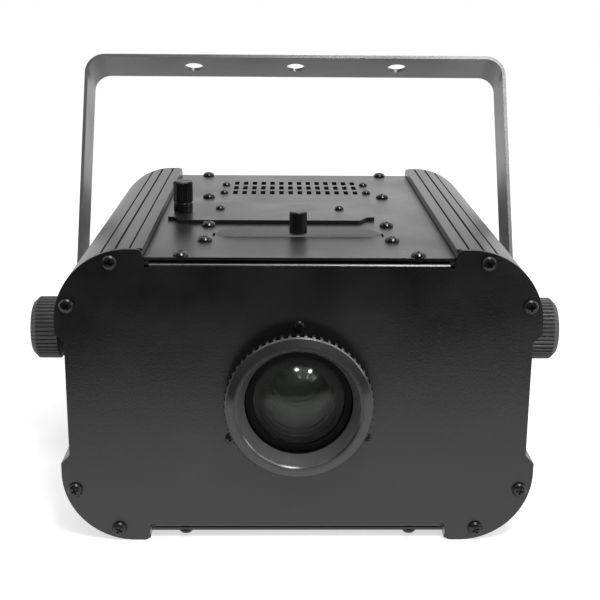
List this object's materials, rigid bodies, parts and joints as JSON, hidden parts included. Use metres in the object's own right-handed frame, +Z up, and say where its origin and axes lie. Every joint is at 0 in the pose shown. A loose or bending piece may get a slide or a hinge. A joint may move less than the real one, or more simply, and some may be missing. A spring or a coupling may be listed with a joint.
{
  "type": "gobo projector",
  "caption": "Compact gobo projector: lobed sheet-metal housing with grooved corner rails, focusing lens, lift-out gobo holder, dimmer knob and tilting clamp yoke.",
  "frame": {"origin": "on the resting surface, at the middle of the bounding box seen from above", "axes": "+X to the viewer's right when facing the lens, +Y from the lens to the rear panel, +Z up; the beam leaves towards -Y"},
  "size_m": [0.3124, 0.2582, 0.2335],
  "materials": {
    "powder_coat": "satin black powder coat with a fine grain",
    "anodised_rail": "black anodised extrusion, satin",
    "yoke_coat": "satin dark grey powder coat",
    "black_plastic": "satin black moulding",
    "grey_plastic": "matt dark grey moulding with knurled grip",
    "black_screw": "black zinc-plated steel",
    "bright_steel": "plain plated steel",
    "aluminium": "bare aluminium",
    "lens_glass": "polished coated glass",
    "board_white": "white solder-mask board",
    "emitter": "yellow phosphor under clear silicone",
    "rubber": "matt black rubber"
  },
  "bodies": {
    "housing": {"front_panel": "powder_coat", "rear_panel": "powder_coat", "top_cover": "powder_coat", "bottom_cover": "powder_coat", "side_panel_left": "powder_coat", "side_panel_right": "powder_coat", "corner_rail_top_left": "anodised_rail", "corner_rail_top_right": "anodised_rail", "corner_rail_bottom_left": "anodised_rail", "corner_rail_bottom_right": "anodised_rail", "control_cover": "powder_coat", "panel_screw_left_top_outer": "black_screw", "panel_screw_left_top_inner": "black_screw", "panel_screw_left_bottom_outer": "black_screw", "panel_screw_left_bottom_inner": "black_screw", "panel_screw_right_top_outer": "black_screw", "panel_screw_right_top_inner": "black_screw", "panel_screw_right_bottom_outer": "black_screw", "panel_screw_right_bottom_inner": "black_screw", "lens_screw_top": "black_screw", "lens_screw_left": "black_screw", "lens_screw_right": "black_screw", "lens_mount": "black_plastic", "gobo_gate": "powder_coat", "condenser_tube": "black_plastic", "condenser_lens_front": "lens_glass", "condenser_lens_rear": "lens_glass", "led_bulkhead": "aluminium", "heat_sink": "aluminium", "led_board": "board_white", "led_emitter": "emitter", "fan_frame": "black_plastic", "led_power_supply": "aluminium", "mains_inlet": "black_plastic", "power_switch_frame": "black_plastic", "dimmer_potentiometer": "bright_steel", "pivot_nut_left": "bright_steel", "pivot_nut_right": "bright_steel", "yoke_spacer_left": "black_plastic", "yoke_spacer_right": "black_plastic"},
    "yoke": {"yoke_bracket": "yoke_coat"},
    "clamp_left": {"clamp_knob_left": "grey_plastic", "clamp_stud_left": "bright_steel", "clamp_washer_left": "rubber"},
    "clamp_right": {"clamp_knob_right": "grey_plastic", "clamp_stud_right": "bright_steel", "clamp_washer_right": "rubber"},
    "focus_ring_body": {"focus_ring": "black_plastic"},
    "lens_body": {"lens_barrel": "black_plastic", "front_lens": "lens_glass", "rear_lens": "lens_glass"},
    "gobo_carrier": {"gobo_holder": "aluminium", "gobo_disc": "bright_steel", "gobo_spring_ring": "bright_steel", "gobo_pull_knob": "black_plastic"},
    "dimmer": {"dimmer_knob": "black_plastic", "dimmer_shaft": "bright_steel"},
    "fan": {"fan_rotor": "black_plastic"},
    "rocker": {"power_switch_rocker": "black_plastic"}
  },
  "joints": [
    {"name": "yoke_tilt", "type": "hinge", "parent": "housing", "child": "yoke", "pos_m": [0, 0.0061, 0.077], "axis": [-1, 0, 0], "range_deg": [-137.75, 82.25]},
    {"name": "left_clamp_turn", "type": "hinge", "parent": "housing", "child": "clamp_left", "pos_m": [-0.14, 0.0061, 0.077], "axis": [-1, 0, 0], "continuous": true},
    {"name": "right_clamp_turn", "type": "hinge", "parent": "housing", "child": "clamp_right", "pos_m": [0.14, 0.0061, 0.077], "axis": [1, 0, 0], "continuous": true},
    {"name": "focus_turn", "type": "hinge", "parent": "housing", "child": "focus_ring_body", "pos_m": [0, -0.1249, 0.0762], "axis": [0, 1, 0], "range_deg": [-120, 160]},
    {"name": "lens_travel", "type": "slide", "parent": "housing", "child": "lens_body", "axis": [0, 1, 0], "range_m": [-0.0045, 0.006]},
    {"name": "gobo_lift", "type": "slide", "parent": "housing", "child": "gobo_carrier", "axis": [0, 0, 1], "range_m": [0, 0.1]},
    {"name": "dimmer_turn", "type": "hinge", "parent": "housing", "child": "dimmer", "pos_m": [-0.0644, -0.0125, 0.16], "axis": [0, 0, 1], "range_deg": [-150, 150]},
    {"name": "fan_spin", "type": "hinge", "parent": "housing", "child": "fan", "pos_m": [0, 0.1091, 0.0762], "axis": [0, 1, 0], "continuous": true},
    {"name": "power_switch", "type": "hinge", "parent": "housing", "child": "rocker", "pos_m": [0.078, 0.1254, 0.055], "axis": [1, 0, 0], "range_deg": [-16, 0]}
  ],
  "couplings": [
    {"joint": "focus_turn", "follows": "lens_travel", "rad_per_m": 465.12}
  ]
}
